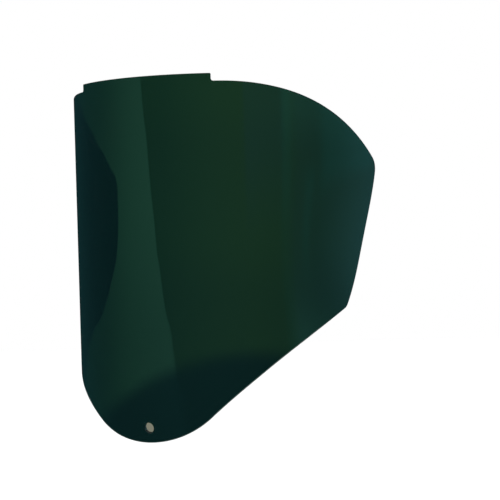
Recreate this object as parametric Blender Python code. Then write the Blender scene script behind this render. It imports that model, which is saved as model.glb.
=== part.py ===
"""Window of an industrial face shield: one moulded sheet of dark green polycarbonate.

The sheet is drawn flat, chamfered, creased along close lines, bent round the face and drilled
at the chin. Metres, +Z up. The wearer looks along -Y, and the wearer's left is +X. The
origin is the middle of the brow tab's top edge, where the headgear holds the window.
"""
import bpy
import bmesh
from math import ceil, cos, floor, pi, radians, sin, sqrt
from mathutils import Vector

MM = 0.001

# The sheet. Flat sizes are measured along its outer face, as if it were unrolled.
HEIGHT = 228.6 * MM
FLAT_WIDTH = 368.3 * MM
THICKNESS = 2.03 * MM
EDGE_CHAMFER = 0.25 * MM

# Seen from above, the outer face is a tight arc across the front and a flatter one down each side.
FRONT_RADIUS = 82.4 * MM
FRONT_HALF_ANGLE = radians(56.6)
SIDE_RADIUS = 197.5 * MM

# At cheek height each side bows in: its radius falls to the bowed one and recovers above and below.
BOWED_RADIUS = 160.0 * MM
BOW_MIDDLE = 113.0 * MM
BOW_REACH = 69.0 * MM

# The lowest part of the chin curls in towards the throat.
CURL_HEIGHT = 50.0 * MM
CURL_DEPTH = 8.7 * MM

# The flat outline of one half, as tangent arcs from the chin's lowest point up to the brow. A
# positive turn bulges outwards. The flank and the side edge get the radii that give the height
# and the width, and the side edge gets the turn that is left of half a circle.
CHIN_RADIUS = 67.2 * MM
CHIN_TURN = radians(38.7)
FLANK_TURN = radians(-13.1)
JAW_RADIUS = 8.0 * MM
JAW_TURN = radians(29.3)
TEMPLE_RADIUS = 10.5 * MM
TEMPLE_TURN = radians(56.9)
OUTER_BROW_RADIUS = 175.0 * MM
OUTER_BROW_TURN = radians(31.4)
INNER_BROW_RADIUS = 227.0 * MM
INNER_BROW_TURN = radians(10.5)

# The tab that stands up from the middle of the brow and seats in the headgear.
TAB_LENGTH = 100.0 * MM
TAB_HEIGHT = 4.8 * MM
TAB_ROOT_RADIUS = 1.5 * MM
TAB_CORNER_RADIUS = 0.8 * MM

# The fastener hole at the chin.
HOLE_DIAMETER = 6.35 * MM
HOLE_HEIGHT = 9.5 * MM
HOLE_CHAMFER = 0.3 * MM
HOLE_SIDES = 48
DRILL_REACH = 4.0 * MM

# How finely curves are drawn.
ARC_STEP = radians(7.5)
LONGEST_CHORD = 8.0 * MM
CREASE_SPACING = 4.4 * MM
CURL_ROWS = 10
BOW_ROWS = 16
SNAP = 0.05 * MM
SHARP_ANGLE = radians(20.0)

# The sheet's direction at a point is taken between points this far to each side of it.
PROBE = 0.1 * MM

WINDOW_GREEN = (0.012, 0.045, 0.028, 1.0)
POLISHED_ROUGHNESS = 0.06
REFRACTIVE_INDEX = 1.585


def clear_scene():
    for scene_object in list(bpy.data.objects):
        bpy.data.objects.remove(scene_object, do_unlink=True)


def arc_reach(start_heading, turn):
    """How far an arc of unit radius goes along the sheet and up it."""
    end_heading = start_heading + turn
    side = 1.0 if turn > 0 else -1.0
    along = side * (sin(end_heading) - sin(start_heading))
    up = side * (cos(start_heading) - cos(end_heading))
    return along, up


def arc_points(start, heading, radius, turn):
    """Points of an arc from start, both ends included."""
    steps = max(ceil(abs(turn) / ARC_STEP), ceil(radius * abs(turn) / LONGEST_CHORD))
    points = []
    for step in range(steps + 1):
        along, up = arc_reach(heading, turn * step / steps)
        points.append((start[0] + radius * along, start[1] + radius * up))
    return points


def half_outline_arcs():
    """(radius, turn) of each arc from the chin to the brow tab's foot."""
    jaw_heading = CHIN_TURN + FLANK_TURN
    side_heading = jaw_heading + JAW_TURN
    side_turn = pi - side_heading - TEMPLE_TURN - OUTER_BROW_TURN - INNER_BROW_TURN
    temple_heading = side_heading + side_turn
    brow_heading = temple_heading + TEMPLE_TURN

    def reach(radius, heading, turn):
        along, up = arc_reach(heading, turn)
        return Vector((radius * along, radius * up))

    chin = reach(CHIN_RADIUS, 0.0, CHIN_TURN)
    jaw = reach(JAW_RADIUS, jaw_heading, JAW_TURN)
    temple_to_widest = reach(TEMPLE_RADIUS, temple_heading, pi / 2 - temple_heading)
    temple = reach(TEMPLE_RADIUS, temple_heading, TEMPLE_TURN)
    outer_brow = reach(OUTER_BROW_RADIUS, brow_heading, OUTER_BROW_TURN)
    inner_brow = reach(INNER_BROW_RADIUS, brow_heading + OUTER_BROW_TURN, INNER_BROW_TURN)
    width_left = FLAT_WIDTH / 2 - (chin + jaw + temple_to_widest).x
    height_left = HEIGHT - TAB_HEIGHT - (chin + jaw + temple + outer_brow + inner_brow).y

    flank_along, flank_up = arc_reach(CHIN_TURN, FLANK_TURN)
    side_along, side_up = arc_reach(side_heading, side_turn)
    determinant = flank_along * side_up - side_along * flank_up
    flank_radius = (width_left * side_up - side_along * height_left) / determinant
    side_radius = (flank_along * height_left - width_left * flank_up) / determinant
    return [
        (CHIN_RADIUS, CHIN_TURN),
        (flank_radius, FLANK_TURN),
        (JAW_RADIUS, JAW_TURN),
        (side_radius, side_turn),
        (TEMPLE_RADIUS, TEMPLE_TURN),
        (OUTER_BROW_RADIUS, OUTER_BROW_TURN),
        (INNER_BROW_RADIUS, INNER_BROW_TURN),
    ]


def half_outline():
    """Flat outline of the wearer's left half, from the chin's lowest point to the tab's corner."""
    points = [(0.0, 0.0)]
    heading = 0.0
    for radius, turn in half_outline_arcs():
        points += arc_points(points[-1], heading, radius, turn)[1:]
        heading += turn
    foot = (TAB_LENGTH / 2 + TAB_ROOT_RADIUS, HEIGHT - TAB_HEIGHT)
    corner = (TAB_LENGTH / 2, HEIGHT - TAB_CORNER_RADIUS)
    points += arc_points(foot, pi, TAB_ROOT_RADIUS, -pi / 2)
    points += arc_points(corner, pi / 2, TAB_CORNER_RADIUS, pi / 2)
    return points


def flat_blank():
    """The unrolled sheet: x along it, y into it from the outer face, z up from the chin."""
    left_half = half_outline()
    right_half = [(-along, up) for along, up in reversed(left_half[1:])]
    blank = bmesh.new()
    rim = [blank.verts.new((along, 0.0, up)) for along, up in left_half + right_half]
    face = blank.faces.new(rim)
    grown = bmesh.ops.extrude_face_region(blank, geom=[face])
    back = [item for item in grown["geom"] if isinstance(item, bmesh.types.BMVert)]
    bmesh.ops.translate(blank, verts=back, vec=(0.0, THICKNESS, 0.0))
    bmesh.ops.recalc_face_normals(blank, faces=blank.faces)
    corners = [edge for edge in blank.edges if edge.calc_face_angle() > pi / 4 and is_level(edge)]
    bmesh.ops.bevel(blank, geom=corners, offset=EDGE_CHAMFER, segments=1, affect="EDGES")
    return blank


def is_level(edge):
    """True for an edge that stays at one depth in the sheet."""
    return abs(edge.verts[0].co.y - edge.verts[1].co.y) < THICKNESS / 2


def crease(blank):
    """Cut the flat sheet along the lines that it is bent on: across it only where a side bows."""
    columns = ceil(FLAT_WIDTH / 2 / CREASE_SPACING)
    for column in range(-columns, columns + 1):
        cut(blank, ((column + 0.5) * CREASE_SPACING, 0.0, 0.0), (1.0, 0.0, 0.0))
    for row in range(1, CURL_ROWS + 1):
        cut(blank, (0.0, 0.0, CURL_HEIGHT * row / CURL_ROWS), (0.0, 0.0, 1.0))
    last_front_crease = floor(FRONT_RADIUS * FRONT_HALF_ANGLE / CREASE_SPACING - 0.5) + 0.5
    side_start = last_front_crease * CREASE_SPACING - SNAP
    for row in range(1, BOW_ROWS):
        up = BOW_MIDDLE + BOW_REACH * (2.0 * row / BOW_ROWS - 1.0)
        cut(blank, (0.0, 0.0, up), (0.0, 0.0, 1.0), side_start)


def cut(blank, point, direction, start=0.0):
    """Cut all that lies at least start from the sheet's middle line."""
    verts = [vert for vert in blank.verts if abs(vert.co.x) >= start]
    edges = [edge for edge in blank.edges if all(abs(vert.co.x) >= start for vert in edge.verts)]
    faces = [face for face in blank.faces if all(abs(vert.co.x) >= start for vert in face.verts)]
    bmesh.ops.bisect_plane(
        blank, geom=verts + edges + faces, dist=SNAP, plane_co=point, plane_no=direction
    )


def outer_point(along, up):
    """Where a point of the flat sheet's outer face goes when the sheet is bent round the face."""
    front_length = FRONT_RADIUS * FRONT_HALF_ANGLE
    front_angle = min(abs(along), front_length) / FRONT_RADIUS
    bow = cos(pi / 2 * min(abs(up - BOW_MIDDLE) / BOW_REACH, 1.0)) ** 2
    side_radius = 1.0 / ((1.0 - bow) / SIDE_RADIUS + bow / BOWED_RADIUS)
    angle = front_angle + max(abs(along) - front_length, 0.0) / side_radius
    across = FRONT_RADIUS * sin(front_angle) + side_radius * (sin(angle) - sin(front_angle))
    back = FRONT_RADIUS * (1 - cos(front_angle)) + side_radius * (cos(front_angle) - cos(angle))
    curl = CURL_DEPTH * max(1.0 - up / CURL_HEIGHT, 0.0) ** 2
    side = 1.0 if along > 0 else -1.0
    return Vector((side * across, back + curl - THICKNESS / 2, up - HEIGHT))


def sheet_point(along, depth, up):
    """Where a point of the flat sheet goes, and the outer face's normal there."""
    forward = outer_point(along + PROBE, up) - outer_point(along - PROBE, up)
    upward = outer_point(along, up + PROBE) - outer_point(along, up - PROBE)
    normal = forward.cross(upward).normalized()
    return outer_point(along, up) - normal * depth, normal


def bend(blank):
    """Wrap the creased sheet round the face, each strip between two creases staying flat."""
    for vertex in blank.verts:
        along, depth, up = vertex.co
        strip = floor(along / CREASE_SPACING + 0.5)
        share = along / CREASE_SPACING + 0.5 - strip
        start, _ = sheet_point((strip - 0.5) * CREASE_SPACING, depth, up)
        end, _ = sheet_point((strip + 0.5) * CREASE_SPACING, depth, up)
        vertex.co = start.lerp(end, share)


def chin_drill():
    """Cutter for the chin hole: a cylinder that flares where it passes each face of the sheet."""
    mouth, normal = sheet_point(0.0, 0.0, HOLE_HEIGHT)
    radius = HOLE_DIAMETER / 2
    flare = radius + HOLE_CHAMFER + DRILL_REACH
    profile = [
        (DRILL_REACH, flare),
        (-HOLE_CHAMFER, radius),
        (HOLE_CHAMFER - THICKNESS, radius),
        (-THICKNESS - DRILL_REACH, flare),
    ]
    across = Vector((1.0, 0.0, 0.0))
    upward = normal.cross(across)
    drill = bmesh.new()
    rings = []
    for reach, ring_radius in profile:
        ring = []
        for side in range(HOLE_SIDES):
            angle = 2 * pi * (side + 0.5) / HOLE_SIDES
            spoke = across * cos(angle) + upward * sin(angle)
            ring.append(drill.verts.new(mouth + normal * reach + spoke * ring_radius))
        rings.append(ring)
    for ring, following in zip(rings, rings[1:]):
        for side in range(HOLE_SIDES):
            after = (side + 1) % HOLE_SIDES
            drill.faces.new((ring[side], ring[after], following[after], following[side]))
    drill.faces.new(rings[0])
    drill.faces.new(rings[-1])
    bmesh.ops.recalc_face_normals(drill, faces=drill.faces)
    cutter = add_object("chin_hole_drill", drill)
    cutter.hide_render = True
    cutter.display_type = "WIRE"
    return cutter


def add_object(name, shape):
    mesh = bpy.data.meshes.new(name)
    shape.to_mesh(mesh)
    shape.free()
    scene_object = bpy.data.objects.new(name, mesh)
    bpy.context.scene.collection.objects.link(scene_object)
    return scene_object


def green_polycarbonate():
    material = bpy.data.materials.new("green_polycarbonate")
    material.use_nodes = True
    shader = material.node_tree.nodes["Principled BSDF"]
    shader.inputs["Base Color"].default_value = WINDOW_GREEN
    shader.inputs["Roughness"].default_value = POLISHED_ROUGHNESS
    shader.inputs["Metallic"].default_value = 0.0
    shader.inputs["IOR"].default_value = REFRACTIVE_INDEX
    return material


def visor_window():
    """The whole object: bent sheet, shaded smooth between its sharp edges, with its chin hole."""
    blank = flat_blank()
    crease(blank)
    bend(blank)
    window = add_object("visor_window", blank)
    window.data.materials.append(green_polycarbonate())
    window.data.shade_smooth()
    window.data.set_sharp_from_angle(angle=SHARP_ANGLE)
    hole = window.modifiers.new("chin_hole", "BOOLEAN")
    hole.operation = "DIFFERENCE"
    hole.object = chin_drill()
    return window


clear_scene()
visor_window()
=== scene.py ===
"""Looks of the face shield window: a curved sheet of dark green transparent polycarbonate.

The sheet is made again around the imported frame, with a finer surface and rounded edges, and it hangs
over a pale floor in a white studio. Cards behind it show through it, and soft boxes beside it show in
its reflections. Metres, +Z up, in the part's own frame.
"""
from math import ceil, cos, pi, radians, sin

import bmesh
import bpy
from mathutils import Matrix, Vector


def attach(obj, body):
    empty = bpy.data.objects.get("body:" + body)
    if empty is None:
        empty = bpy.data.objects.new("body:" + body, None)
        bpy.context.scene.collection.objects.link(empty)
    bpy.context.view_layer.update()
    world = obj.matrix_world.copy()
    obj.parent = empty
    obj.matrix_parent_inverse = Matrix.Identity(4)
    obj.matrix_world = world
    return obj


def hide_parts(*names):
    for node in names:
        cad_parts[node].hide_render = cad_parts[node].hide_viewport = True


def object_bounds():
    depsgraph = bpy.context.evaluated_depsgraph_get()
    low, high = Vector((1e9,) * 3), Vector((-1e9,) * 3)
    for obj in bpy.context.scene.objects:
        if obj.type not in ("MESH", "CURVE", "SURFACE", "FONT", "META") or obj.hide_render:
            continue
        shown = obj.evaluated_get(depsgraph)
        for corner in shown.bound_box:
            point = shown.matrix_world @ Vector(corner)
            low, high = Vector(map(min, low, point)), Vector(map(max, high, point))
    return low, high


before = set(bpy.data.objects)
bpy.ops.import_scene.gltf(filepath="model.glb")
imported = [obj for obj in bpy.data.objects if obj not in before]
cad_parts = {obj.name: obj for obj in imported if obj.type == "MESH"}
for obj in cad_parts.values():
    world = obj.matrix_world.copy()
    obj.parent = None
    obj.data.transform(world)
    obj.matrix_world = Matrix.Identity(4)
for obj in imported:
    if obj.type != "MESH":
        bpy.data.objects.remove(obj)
cad_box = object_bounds()

MM = 0.001
WHITE = (1.0, 1.0, 1.0, 1.0)

# The sheet's driving sizes, as in the part. Flat sizes are measured along its outer face.
HEIGHT = 228.6 * MM
FLAT_WIDTH = 368.3 * MM
THICKNESS = 2.03 * MM
FRONT_RADIUS = 82.4 * MM
FRONT_HALF_ANGLE = radians(56.6)
SIDE_RADIUS = 197.5 * MM
BOWED_RADIUS = 160.0 * MM
BOW_MIDDLE = 113.0 * MM
BOW_REACH = 69.0 * MM
CURL_HEIGHT = 50.0 * MM
CURL_DEPTH = 8.7 * MM

CHIN_RADIUS = 67.2 * MM
CHIN_TURN = radians(38.7)
FLANK_TURN = radians(-13.1)
JAW_RADIUS = 8.0 * MM
JAW_TURN = radians(29.3)
TEMPLE_RADIUS = 10.5 * MM
TEMPLE_TURN = radians(56.9)
OUTER_BROW_RADIUS = 175.0 * MM
OUTER_BROW_TURN = radians(31.4)
INNER_BROW_RADIUS = 227.0 * MM
INNER_BROW_TURN = radians(10.5)

TAB_LENGTH = 100.0 * MM
TAB_HEIGHT = 4.8 * MM
TAB_ROOT_RADIUS = 1.5 * MM
TAB_CORNER_RADIUS = 0.8 * MM

HOLE_DIAMETER = 6.35 * MM
HOLE_HEIGHT = 9.5 * MM
HOLE_SIDES = 96

# Finish of the edges, and how finely the surface is divided. Only sharper edges than SHARP are
# rounded, and a flat face whose normal has less than LEVEL_NORMAL across the sheet is part of its rim.
EDGE_ROUNDING = 0.25 * MM
ROUNDING_STEPS = 3
ARC_STEP = radians(4.0)
LONGEST_CHORD = 2.0 * MM
COLUMN_SPACING = 2.0 * MM
ROW_SPACING = 4.0 * MM
SNAP = 0.01 * MM
PROBE = 0.1 * MM
SHARP = pi / 4
LEVEL_NORMAL = 0.999
ROUND_PROFILE = 0.5

# The photographer's camera: where it points, from which side, and how far away it is.
CAMERA_TARGET = Vector((62.49, 28.9, -110.53)) * MM
CAMERA_AZIMUTH = radians(28.79)
CAMERA_ELEVATION = radians(-1.88)
CAMERA_ROLL = radians(-1.84)
CAMERA_DISTANCE = 1516.0 * MM
CAMERA_LENS = 175.7
SENSOR_WIDTH = 36.0


def arc_reach(start_heading, turn):
    """How far an arc of unit radius goes along the sheet and up it."""
    end_heading = start_heading + turn
    side = 1.0 if turn > 0 else -1.0
    along = side * (sin(end_heading) - sin(start_heading))
    up = side * (cos(start_heading) - cos(end_heading))
    return along, up


def arc_points(start, heading, radius, turn):
    """Points of an arc from start, both ends included."""
    steps = max(ceil(abs(turn) / ARC_STEP), ceil(radius * abs(turn) / LONGEST_CHORD))
    points = []
    for step in range(steps + 1):
        along, up = arc_reach(heading, turn * step / steps)
        points.append((start[0] + radius * along, start[1] + radius * up))
    return points


def half_outline_arcs():
    """(radius, turn) of each arc from the chin to the brow tab's foot."""
    jaw_heading = CHIN_TURN + FLANK_TURN
    side_heading = jaw_heading + JAW_TURN
    side_turn = pi - side_heading - TEMPLE_TURN - OUTER_BROW_TURN - INNER_BROW_TURN
    temple_heading = side_heading + side_turn
    brow_heading = temple_heading + TEMPLE_TURN

    def reach(radius, heading, turn):
        along, up = arc_reach(heading, turn)
        return Vector((radius * along, radius * up))

    chin = reach(CHIN_RADIUS, 0.0, CHIN_TURN)
    jaw = reach(JAW_RADIUS, jaw_heading, JAW_TURN)
    temple_to_widest = reach(TEMPLE_RADIUS, temple_heading, pi / 2 - temple_heading)
    temple = reach(TEMPLE_RADIUS, temple_heading, TEMPLE_TURN)
    outer_brow = reach(OUTER_BROW_RADIUS, brow_heading, OUTER_BROW_TURN)
    inner_brow = reach(INNER_BROW_RADIUS, brow_heading + OUTER_BROW_TURN, INNER_BROW_TURN)
    width_left = FLAT_WIDTH / 2 - (chin + jaw + temple_to_widest).x
    height_left = HEIGHT - TAB_HEIGHT - (chin + jaw + temple + outer_brow + inner_brow).y

    flank_along, flank_up = arc_reach(CHIN_TURN, FLANK_TURN)
    side_along, side_up = arc_reach(side_heading, side_turn)
    determinant = flank_along * side_up - side_along * flank_up
    flank_radius = (width_left * side_up - side_along * height_left) / determinant
    side_radius = (flank_along * height_left - width_left * flank_up) / determinant
    return [
        (CHIN_RADIUS, CHIN_TURN),
        (flank_radius, FLANK_TURN),
        (JAW_RADIUS, JAW_TURN),
        (side_radius, side_turn),
        (TEMPLE_RADIUS, TEMPLE_TURN),
        (OUTER_BROW_RADIUS, OUTER_BROW_TURN),
        (INNER_BROW_RADIUS, INNER_BROW_TURN),
    ]


def half_rim():
    """Flat rim of the wearer's left half: up the outline, down the middle and round the hole."""
    points = [(0.0, 0.0)]
    heading = 0.0
    for radius, turn in half_outline_arcs():
        points += arc_points(points[-1], heading, radius, turn)[1:]
        heading += turn
    foot = (TAB_LENGTH / 2 + TAB_ROOT_RADIUS, HEIGHT - TAB_HEIGHT)
    corner = (TAB_LENGTH / 2, HEIGHT - TAB_CORNER_RADIUS)
    points += arc_points(foot, pi, TAB_ROOT_RADIUS, -pi / 2)
    points += arc_points(corner, pi / 2, TAB_CORNER_RADIUS, pi / 2)
    points.append((0.0, HEIGHT))
    for side in range(HOLE_SIDES // 2 + 1):
        angle = pi * side / (HOLE_SIDES // 2)
        on_middle = side in (0, HOLE_SIDES // 2)
        along = 0.0 if on_middle else HOLE_DIAMETER / 2 * sin(angle)
        points.append((along, HOLE_HEIGHT + HOLE_DIAMETER / 2 * cos(angle)))
    return points


def flat_sheet():
    """The unrolled sheet: x along it, y into it from the outer face, z up from the chin."""
    sheet = bmesh.new()
    left = [sheet.verts.new((along, 0.0, up)) for along, up in half_rim()]
    right = [v if v.co.x == 0.0 else sheet.verts.new((-v.co.x, 0.0, v.co.z)) for v in left]
    faces = [sheet.faces.new(left), sheet.faces.new(reversed(right))]
    grown = bmesh.ops.extrude_face_region(sheet, geom=faces)
    back = [item for item in grown["geom"] if isinstance(item, bmesh.types.BMVert)]
    bmesh.ops.translate(sheet, verts=back, vec=(0.0, THICKNESS, 0.0))
    bmesh.ops.recalc_face_normals(sheet, faces=sheet.faces)
    corners = [edge for edge in sheet.edges if is_level(edge) and edge.calc_face_angle() > SHARP]
    bmesh.ops.bevel(
        sheet,
        geom=corners,
        offset=EDGE_ROUNDING,
        segments=ROUNDING_STEPS,
        profile=ROUND_PROFILE,
        affect="EDGES",
    )
    return sheet


def is_level(edge):
    """True for an edge that stays at one depth in the sheet."""
    return abs(edge.verts[0].co.y - edge.verts[1].co.y) < THICKNESS / 2


def divide(sheet):
    """Cut the flat sheet into a fine grid, so that it bends smoothly."""
    columns = ceil(FLAT_WIDTH / 2 / COLUMN_SPACING)
    for column in range(-columns, columns + 1):
        cut(sheet, (column * COLUMN_SPACING, 0.0, 0.0), (1.0, 0.0, 0.0))
    for row in range(1, ceil(HEIGHT / ROW_SPACING)):
        cut(sheet, (0.0, 0.0, row * ROW_SPACING), (0.0, 0.0, 1.0))


def cut(sheet, point, direction):
    everything = sheet.verts[:] + sheet.edges[:] + sheet.faces[:]
    bmesh.ops.bisect_plane(sheet, geom=everything, dist=SNAP, plane_co=point, plane_no=direction)


def mark_cut_edge(sheet):
    """Mark the rim's faces, and keep the shading sharp where they meet the polished faces."""
    cut_edge = sheet.faces.layers.float.new("cut_edge")
    sheet.normal_update()
    for face in sheet.faces:
        face.smooth = True
        face[cut_edge] = 0.0 if abs(face.normal.y) > LEVEL_NORMAL else 1.0
    for edge in sheet.edges:
        first, second = edge.link_faces
        edge.smooth = first[cut_edge] == second[cut_edge]


def outer_point(along, up):
    """Where a point of the flat sheet's outer face goes when the sheet is bent round the face."""
    front_length = FRONT_RADIUS * FRONT_HALF_ANGLE
    front_angle = min(abs(along), front_length) / FRONT_RADIUS
    bow = cos(pi / 2 * min(abs(up - BOW_MIDDLE) / BOW_REACH, 1.0)) ** 2
    side_radius = 1.0 / ((1.0 - bow) / SIDE_RADIUS + bow / BOWED_RADIUS)
    angle = front_angle + max(abs(along) - front_length, 0.0) / side_radius
    across = FRONT_RADIUS * sin(front_angle) + side_radius * (sin(angle) - sin(front_angle))
    back = FRONT_RADIUS * (1 - cos(front_angle)) + side_radius * (cos(front_angle) - cos(angle))
    curl = CURL_DEPTH * max(1.0 - up / CURL_HEIGHT, 0.0) ** 2
    side = 1.0 if along > 0 else -1.0
    return Vector((side * across, back + curl - THICKNESS / 2, up - HEIGHT))


def sheet_point(along, depth, up):
    """Where a point of the flat sheet goes, at a depth below its outer face."""
    forward = outer_point(along + PROBE, up) - outer_point(along - PROBE, up)
    upward = outer_point(along, up + PROBE) - outer_point(along, up - PROBE)
    normal = forward.cross(upward).normalized()
    return outer_point(along, up) - normal * depth


def window_sheet():
    """The window's own finished mesh, which stands for the CAD solid."""
    sheet = flat_sheet()
    divide(sheet)
    mark_cut_edge(sheet)
    flat_place = sheet.verts.layers.float_vector.new("flat_place")
    for vertex in sheet.verts:
        vertex[flat_place] = vertex.co
        vertex.co = sheet_point(*vertex.co)
    mesh = bpy.data.meshes.new("window_sheet")
    sheet.to_mesh(mesh)
    sheet.free()
    window = bpy.data.objects.new("window_sheet", mesh)
    bpy.context.scene.collection.objects.link(window)
    window.data.materials.append(green_polycarbonate())
    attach(window, "root")
    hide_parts("visor_window")


class Nodes:
    """A node tree, with short ways to add and join its nodes."""

    def __init__(self, tree):
        self.tree = tree
        tree.nodes.clear()

    def add(self, kind, settings=None, **inputs):
        node = self.tree.nodes.new(kind)
        for name, value in (settings or {}).items():
            setattr(node, name, value)
        for name, value in inputs.items():
            self.feed(node, name.replace("_", " "), value)
        return node

    def feed(self, node, name, value):
        """Join or set the node's input that has this name or number."""
        socket = node.inputs[name]
        if isinstance(value, bpy.types.NodeSocket):
            self.tree.links.new(value, socket)
        else:
            socket.default_value = value

    def math(self, operation, first, second=0.0, clamp=False):
        node = self.tree.nodes.new("ShaderNodeMath")
        node.operation = operation
        node.use_clamp = clamp
        self.feed(node, 0, first)
        self.feed(node, 1, second)
        return node.outputs[0]

    def vector_math(self, operation, first, second):
        node = self.add("ShaderNodeVectorMath", {"operation": operation})
        self.feed(node, 0, first)
        self.feed(node, 1, second)
        return node

    def two_shaders(self, kind, first, second, **inputs):
        """A shader that mixes or adds two others, which are its last two inputs."""
        node = self.add(kind, **inputs)
        self.tree.links.new(first.outputs[0], node.inputs[-2])
        self.tree.links.new(second.outputs[0], node.inputs[-1])
        return node


# The moulding compound: what one metre of it takes out of red, green and blue light, and its gloss.
ABSORPTION = (2406.0, 1660.0, 2106.0)
REFRACTIVE_INDEX = 1.585
POLISHED = 0.015
SMUDGED = 0.06
CUT_ROUGH = 0.35

# Marks on the surface: how many of them fit in a metre, how finely they are broken up, and how deep
# they are. The flow lines run up the sheet, and SMUDGE_EDGES is where the noise starts and ends them.
SMUDGES = 22.0
SMUDGE_DETAIL = 6.0
SMUDGE_EDGES = (0.52, 0.78)
FLOW_LINES = (90.0, 0.0, 4.0)
FLOW_DEPTH = 0.02 * MM
FLOW_DETAIL = 2.0
MACHINING = 2600.0
MACHINING_DEPTH = 0.03 * MM
MACHINING_DETAIL = 2.0


def surface_noise(nodes, place, scale, detail):
    """Cloudy marks fixed to the sheet."""
    noise = nodes.add("ShaderNodeTexNoise", Vector=place, Scale=scale, Detail=detail)
    return noise.outputs["Fac"]


def finish_roughness(nodes, place, cut_edge):
    """Moulded gloss with faint smudges on the faces, and a matt cut edge."""
    clouds = surface_noise(nodes, place, SMUDGES, SMUDGE_DETAIL)
    faces = fade(nodes, clouds, *SMUDGE_EDGES, POLISHED, SMUDGED)
    edge = nodes.add("ShaderNodeMapRange", Value=cut_edge, To_Max=CUT_ROUGH)
    return nodes.math("MAXIMUM", faces, edge.outputs[0])


def finish_bump(nodes, place, flat_place, cut_edge):
    """Flow lines running up the moulding, and the trimming tool's marks round its edge."""
    stretched = nodes.vector_math("MULTIPLY", flat_place, FLOW_LINES).outputs[0]
    flow_noise = surface_noise(nodes, stretched, 1.0, FLOW_DETAIL)
    flow = nodes.math("MULTIPLY", flow_noise, FLOW_DEPTH)
    tool_noise = surface_noise(nodes, place, MACHINING, MACHINING_DETAIL)
    tool = nodes.math("MULTIPLY", tool_noise, MACHINING_DEPTH)
    height = nodes.math("ADD", flow, nodes.math("MULTIPLY", tool, cut_edge))
    return nodes.add("ShaderNodeBump", Height=height, Distance=1.0).outputs[0]


def green_polycarbonate():
    material = bpy.data.materials.new("green_polycarbonate")
    material.use_nodes = True
    nodes = Nodes(material.node_tree)
    place = nodes.add("ShaderNodeTexCoord").outputs["Object"]
    flat_place = nodes.add("ShaderNodeAttribute", {"attribute_name": "flat_place"}).outputs["Vector"]
    cut_edge = nodes.add("ShaderNodeAttribute", {"attribute_name": "cut_edge"}).outputs["Fac"]
    surface = nodes.add(
        "ShaderNodeBsdfPrincipled",
        Base_Color=WHITE,
        IOR=REFRACTIVE_INDEX,
        Transmission_Weight=1.0,
        Roughness=finish_roughness(nodes, place, cut_edge),
        Normal=finish_bump(nodes, place, flat_place, cut_edge),
    )
    density = max(ABSORPTION)
    passed = [1.0 - taken / density for taken in ABSORPTION]
    inside = nodes.add("ShaderNodeVolumeAbsorption", Density=density, Color=(*passed, 1.0))
    nodes.add("ShaderNodeOutputMaterial", Surface=surface.outputs[0], Volume=inside.outputs[0])
    return material


def camera_axes():
    """The camera's right, up and forward directions."""
    forward = Vector((
        -sin(CAMERA_AZIMUTH) * cos(CAMERA_ELEVATION),
        cos(CAMERA_AZIMUTH) * cos(CAMERA_ELEVATION),
        -sin(CAMERA_ELEVATION),
    ))
    level = Vector((cos(CAMERA_AZIMUTH), sin(CAMERA_AZIMUTH), 0.0))
    upright = level.cross(forward)
    right = cos(CAMERA_ROLL) * level + sin(CAMERA_ROLL) * upright
    up = cos(CAMERA_ROLL) * upright - sin(CAMERA_ROLL) * level
    return right, up, forward


def studio_camera():
    right, up, forward = camera_axes()
    lens = bpy.data.cameras.new("camera")
    lens.lens = CAMERA_LENS
    lens.sensor_width = SENSOR_WIDTH
    camera = bpy.data.objects.new("camera", lens)
    camera.matrix_world = Matrix((right, up, -forward)).transposed().to_4x4()
    camera.location = CAMERA_TARGET - forward * CAMERA_DISTANCE
    bpy.context.scene.collection.objects.link(camera)
    bpy.context.scene.camera = camera


# The studio: a white room, which the sheet reflects as a dim teal one. The reflected room darkens
# away from the camera, and the room lights the floor a little more strongly than it looks.
REFLECTED_ROOM = (0.045, 0.215, 0.235, 1.0)
ROOM_GAIN = 1.1
ROOM_ON_FLOOR = 1.3

FLOOR_SIZE = 20.0
FLOOR_GAP = 80.0 * MM
FLOOR_COLOUR = (0.95, 0.95, 0.95, 1.0)
FLOOR_ROUGHNESS = 0.8


def studio_world():
    """White to look at and to see through the sheet, and a dim teal room in its reflections."""
    world = bpy.data.worlds.new("studio")
    bpy.context.scene.world = world
    world.use_nodes = True
    nodes = Nodes(world.node_tree)
    ray = nodes.add("ShaderNodeLightPath")
    bounced = ray.outputs["Is Glossy Ray"]
    passed = ray.outputs["Is Transmission Ray"]
    reflected = nodes.math("SUBTRACT", bounced, passed, True)
    lighting = ray.outputs["Is Diffuse Ray"]
    on_floor = nodes.add("ShaderNodeMapRange", Value=lighting, To_Min=1.0, To_Max=ROOM_ON_FLOOR)
    white = nodes.add("ShaderNodeBackground", Color=WHITE, Strength=on_floor.outputs[0])

    direction = nodes.add("ShaderNodeTexCoord").outputs["Generated"]
    towards_camera = nodes.vector_math("DOT_PRODUCT", direction, -camera_axes()[2])
    facing = nodes.math("ADD", towards_camera.outputs["Value"], 1.0)
    share = nodes.math("SQRT", nodes.math("MULTIPLY", facing, 0.5))
    strength = nodes.math("MULTIPLY", share, ROOM_GAIN)
    room = nodes.add("ShaderNodeBackground", Color=REFLECTED_ROOM, Strength=strength)
    choice = nodes.two_shaders("ShaderNodeMixShader", white, room, Fac=reflected)
    nodes.add("ShaderNodeOutputWorld", Surface=choice.outputs[0])


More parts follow.
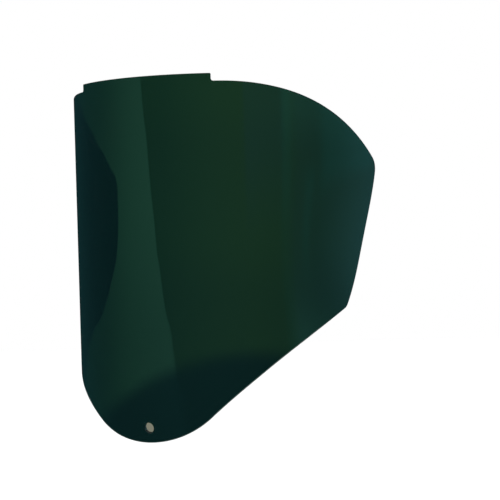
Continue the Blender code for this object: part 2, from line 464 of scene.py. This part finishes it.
def studio_floor():
    """A pale floor under the chin, which the sheet neither reflects nor shows."""
    outline = rectangle(-FLOOR_SIZE, -FLOOR_SIZE, FLOOR_SIZE, FLOOR_SIZE)
    level = cad_box[0].z - FLOOR_GAP
    floor = add_mesh("floor", [(across, deep, level) for across, deep in outline], [range(4)])
    material = bpy.data.materials.new("floor_paper")
    material.use_nodes = True
    shader = material.node_tree.nodes["Principled BSDF"]
    shader.inputs["Base Color"].default_value = FLOOR_COLOUR
    shader.inputs["Roughness"].default_value = FLOOR_ROUGHNESS
    floor.data.materials.append(material)
    floor.visible_glossy = False
    floor.visible_transmission = False


def add_mesh(name, points, faces):
    mesh = bpy.data.meshes.new(name)
    mesh.from_pydata(points, [], faces)
    scene_object = bpy.data.objects.new(name, mesh)
    bpy.context.scene.collection.objects.link(scene_object)
    return scene_object


# Cards behind the window, which are seen only through it and paint the light and shade seen there: the
# lit card's glow is painted light, the shaded card's dimmer glow is painted shade, and the scrim is a
# painted shadow. Places on them are right of and above the middle of the camera's view. A fade has
# where it starts and ends and its share of the light at the dim end, and the shaded card's top fade has
# its share at the bright end instead. The shaded card's edge is in millimetres.
CARD_BEHIND = 350.0 * MM
CARD_SPACING = 10.0 * MM
CARD_SIZE = 200.0 * MM

LIT_CARD_COLOUR = (1.28, 1.06, 1.32, 1.0)
LIT_CARD_FADE = (-126.0 * MM, -90.0 * MM, 0.62)
LIT_CARD_LOWER = (-75.0 * MM, 40.0 * MM, 0.75)

SHADED_CARD_EDGE = [(-94.4, 200.0), (-85.9, 131.9), (-72.0, -3.8), (-50.3, -135.4), (-38.0, -200.0)]
# The shaded card's glow: painted shade beside its edge, rising to painted light further from it.
SHADED_CARD_DARK = (0.42, 0.39, 0.15, 1.0)
SHADED_CARD_LIGHT = (1.0, 0.67, 0.24, 1.0)
SHADED_CARD_ACROSS = (-68.0 * MM, 12.0 * MM)
SHADED_CARD_LOWER = (-42.0 * MM, 15.0 * MM, 0.78)
SHADED_CARD_TOP = (75.0 * MM, 125.0 * MM, 1.2)

# The scrim is a painted shadow: a round soft-edged sheet that lets only a small bluish share of the
# light through.
FLAG_CENTRE = Vector((9.2, -267.6)) * MM
FLAG_RADIUS = 188.9 * MM
FLAG_SOFTNESS = 17.0 * MM
PAINTED_SHADOW_PASSES = (0.12, 0.15, 0.2, 1.0)


def card_behind(name, outline, distance):
    """A flat card that faces the camera from beyond the window, and is seen only through it."""
    right, up, forward = camera_axes()
    card = add_mesh(name, [(across, above, 0.0) for across, above in outline], [range(len(outline))])
    card.matrix_world = Matrix((right, up, -forward)).transposed().to_4x4()
    card.location = CAMERA_TARGET + forward * distance
    card.visible_camera = False
    card.visible_diffuse = False
    card.visible_glossy = False
    card.visible_shadow = False
    return card


def card_nodes(card):
    """The card's own node tree, and its coordinates right and up in metres."""
    material = bpy.data.materials.new(card.name)
    material.use_nodes = True
    card.data.materials.append(material)
    nodes = Nodes(material.node_tree)
    place = nodes.add("ShaderNodeTexCoord")
    split = nodes.add("ShaderNodeSeparateXYZ", Vector=place.outputs["Object"])
    return nodes, split.outputs["X"], split.outputs["Y"]


def fade(nodes, value, start, end, low=0.0, high=1.0):
    """A soft step from low to high as the value goes from start to end."""
    step = nodes.add(
        "ShaderNodeMapRange",
        {"interpolation_type": "SMOOTHSTEP"},
        Value=value, From_Min=start, From_Max=end, To_Min=low, To_Max=high,
    )
    return step.outputs[0]


def mix_colours(nodes, share, first, second):
    mix = nodes.add("ShaderNodeMix", {"data_type": "RGBA"})
    nodes.feed(mix, 0, share)
    nodes.feed(mix, 6, first)
    nodes.feed(mix, 7, second)
    return mix.outputs[2]


def rectangle(left, low, right, high):
    return [(left, low), (right, low), (right, high), (left, high)]


def lit_card():
    """The bright card that shows as the lit strip, dimmer towards its side and its foot."""
    outline = rectangle(-CARD_SIZE, -CARD_SIZE, CARD_SIZE, CARD_SIZE)
    card = card_behind("lit_card", outline, CARD_BEHIND + CARD_SPACING)
    nodes, right, up = card_nodes(card)
    start, end, low = LIT_CARD_FADE
    sideways = fade(nodes, right, start, end, low)
    start, end, low = LIT_CARD_LOWER
    upwards = fade(nodes, up, start, end, low)
    glow = nodes.add(
        "ShaderNodeEmission", Color=LIT_CARD_COLOUR, Strength=nodes.math("MULTIPLY", sideways, upwards)
    )
    nodes.add("ShaderNodeOutputMaterial", Surface=glow.outputs[0])


def shaded_glow_card():
    """A glowing card in front of it whose bowed edge shows through the window as the line beside the
    strip.
    Its glow is painted shade beside its edge and at its foot, and painted light further right and near
    its top.
    """
    edge = [(across * MM, above * MM) for across, above in SHADED_CARD_EDGE]
    far_side = [(CARD_SIZE, -CARD_SIZE), (CARD_SIZE, CARD_SIZE)]
    card = card_behind("shaded_glow_card", edge + far_side, CARD_BEHIND)
    nodes, right, up = card_nodes(card)
    start, end = SHADED_CARD_ACROSS
    # Painted shade across the card: its glow brightens from its edge rightwards.
    lit = nodes.add("ShaderNodeMapRange", Value=right, From_Min=start, From_Max=end).outputs[0]
    colour = mix_colours(nodes, lit, SHADED_CARD_DARK, SHADED_CARD_LIGHT)
    # Painted shade at its foot and painted light near its top.
    start, end, low = SHADED_CARD_LOWER
    lower = fade(nodes, up, start, end, low)
    start, end, high = SHADED_CARD_TOP
    top = fade(nodes, up, start, end, 1.0, high)
    glow = nodes.add("ShaderNodeEmission", Color=colour, Strength=nodes.math("MULTIPLY", lower, top))
    nodes.add("ShaderNodeOutputMaterial", Surface=glow.outputs[0])


def painted_shadow_scrim():
    """A round soft-edged scrim low behind the window, a painted shadow that darkens what shows through
    its chin.
    """
    reach = FLAG_RADIUS + FLAG_SOFTNESS
    across, above = FLAG_CENTRE
    outline = rectangle(across - reach, above - reach, across + reach, above + reach)
    card = card_behind("painted_shadow_scrim", outline, CARD_BEHIND - CARD_SPACING)
    nodes, right, up = card_nodes(card)
    offset = nodes.add("ShaderNodeCombineXYZ", X=right, Y=up).outputs[0]
    away = nodes.vector_math("DISTANCE", offset, (across, above, 0.0)).outputs["Value"]
    half = FLAG_SOFTNESS / 2
    clear = fade(nodes, away, FLAG_RADIUS - half, FLAG_RADIUS + half)
    # Painted shadow inside the circle, clear outside it.
    passes = mix_colours(nodes, clear, PAINTED_SHADOW_PASSES, WHITE)
    shadow_filter = nodes.add("ShaderNodeBsdfTransparent", Color=passes)
    nodes.add("ShaderNodeOutputMaterial", Surface=shadow_filter.outputs[0])


# A bank of soft boxes beyond the wearer's left side, which shows in the window's reflections only. Each
# has its left, right, foot and top edge in metres from the bank's middle, how softly its sides and its
# ends fade, and its colour.
BANK_AZIMUTH = radians(125.0)
BANK_DISTANCE = 0.8
BANK_HALF_WIDTH = 1.3
BANK_HALF_HEIGHT = 0.8
SOFT_BOXES = {
    "broad": ((0.04, 1.2, -0.7, 0.7), (0.22, 0.1), (0.05, 0.16, 0.14)),
    "upper": ((-0.13, 0.3, 0.055, 0.6), (0.05, 0.03), (0.0, 0.08, 0.08)),
    "haze": ((-0.36, 1.2, -0.7, 0.7), (0.05, 0.1), (0.0, 0.0, 0.07)),
    "low": ((-0.38, 0.05, -0.5, -0.02), (0.06, 0.05), (0.04, 0.18, 0.15)),
    "high": ((-0.44, 1.0, 0.145, 0.6), (0.03, 0.035), (0.02, 0.12, 0.12)),
    "high_haze": ((-1.2, -0.44, 0.10, 0.6), (0.03, 0.07), (0.0, 0.0, 0.09)),
    "front_strip": ((-0.455, -0.375, -0.6, 0.6), (0.02, 0.03), (0.0, 0.03, 0.04)),
    "front_strip_top": ((-0.455, -0.375, 0.06, 0.6), (0.02, 0.04), (0.0, 0.04, 0.06)),
    "middle_strip": ((-0.25, -0.18, 0.015, 0.09), (0.025, 0.02), (0.0, 0.06, 0.06)),
}


def soft_box(nodes, right, up, edges, softness, colour):
    """The glow of one soft box, over the whole bank."""
    left, right_edge, foot, top = edges
    at_sides, at_ends = softness
    shares = [
        fade(nodes, right, left - at_sides, left + at_sides),
        fade(nodes, right, right_edge - at_sides, right_edge + at_sides, 1.0, 0.0),
        fade(nodes, up, foot - at_ends, foot + at_ends),
        fade(nodes, up, top - at_ends, top + at_ends, 1.0, 0.0),
    ]
    share = 1.0
    for another in shares:
        share = nodes.math("MULTIPLY", share, another)
    glow = nodes.add("ShaderNodeVectorMath", {"operation": "SCALE"}, Scale=share)
    glow.inputs[0].default_value = colour
    return glow.outputs[0]


def side_light():
    """The card that all the soft boxes shine from."""
    towards = Vector((sin(BANK_AZIMUTH), -cos(BANK_AZIMUTH), 0.0))
    sideways = Vector((-towards.y, towards.x, 0.0))
    outline = rectangle(-BANK_HALF_WIDTH, -BANK_HALF_HEIGHT, BANK_HALF_WIDTH, BANK_HALF_HEIGHT)
    card = add_mesh("side_light", [(across, above, 0.0) for across, above in outline], [range(4)])
    card.matrix_world = Matrix((sideways, Vector((0, 0, 1)), towards)).transposed().to_4x4()
    card.location = CAMERA_TARGET + towards * BANK_DISTANCE
    nodes, right, up = card_nodes(card)
    light = (0.0, 0.0, 0.0)
    for edges, softness, colour in SOFT_BOXES.values():
        glow = soft_box(nodes, right, up, edges, softness, colour)
        light = nodes.vector_math("ADD", light, glow).outputs[0]
    shine = nodes.add("ShaderNodeEmission", Color=light)
    clear = nodes.add("ShaderNodeBsdfTransparent")
    both = nodes.two_shaders("ShaderNodeAddShader", shine, clear)
    nodes.add("ShaderNodeOutputMaterial", Surface=both.outputs[0])
    card.visible_camera = False
    card.visible_diffuse = False
    card.visible_transmission = False
    card.visible_shadow = False


# A small glowing grey card close behind the chin hole, painted shade that stands for a shadowed
# backdrop. It is seen only straight through the hole or past the chin's edge, and only from its front.
# HOLE_CARD_SIZE is half its width.
HOLE_CARD_SIZE = 4.2 * MM
HOLE_CARD_BEHIND = 1.8 * MM
HOLE_SHADOW_COLOUR = (0.202, 0.202, 0.153, 1.0)


def hole_shadow_card():
    """Painted shade: the shadowed grey that the camera sees straight through the chin hole."""
    forward = camera_axes()[2]
    outline = rectangle(-HOLE_CARD_SIZE, -HOLE_CARD_SIZE, HOLE_CARD_SIZE, HOLE_CARD_SIZE)
    card = card_behind("hole_shadow_card", outline, 0.0)
    card.location = sheet_point(0.0, THICKNESS, HOLE_HEIGHT) + forward * HOLE_CARD_BEHIND
    card.visible_camera = True
    card.visible_transmission = False
    nodes = card_nodes(card)[0]
    # Painted shade, glowing from the card's front only.
    front = nodes.add("ShaderNodeEmission", Color=HOLE_SHADOW_COLOUR)
    back = nodes.add("ShaderNodeBsdfTransparent")
    behind = nodes.add("ShaderNodeNewGeometry").outputs["Backfacing"]
    one_sided = nodes.two_shaders("ShaderNodeMixShader", front, back, Fac=behind)
    nodes.add("ShaderNodeOutputMaterial", Surface=one_sided.outputs[0])


studio_camera()
studio_world()
studio_floor()
lit_card()
shaded_glow_card()
painted_shadow_scrim()
side_light()
hole_shadow_card()
window_sheet()
bpy.context.scene.view_settings.view_transform = "Standard"
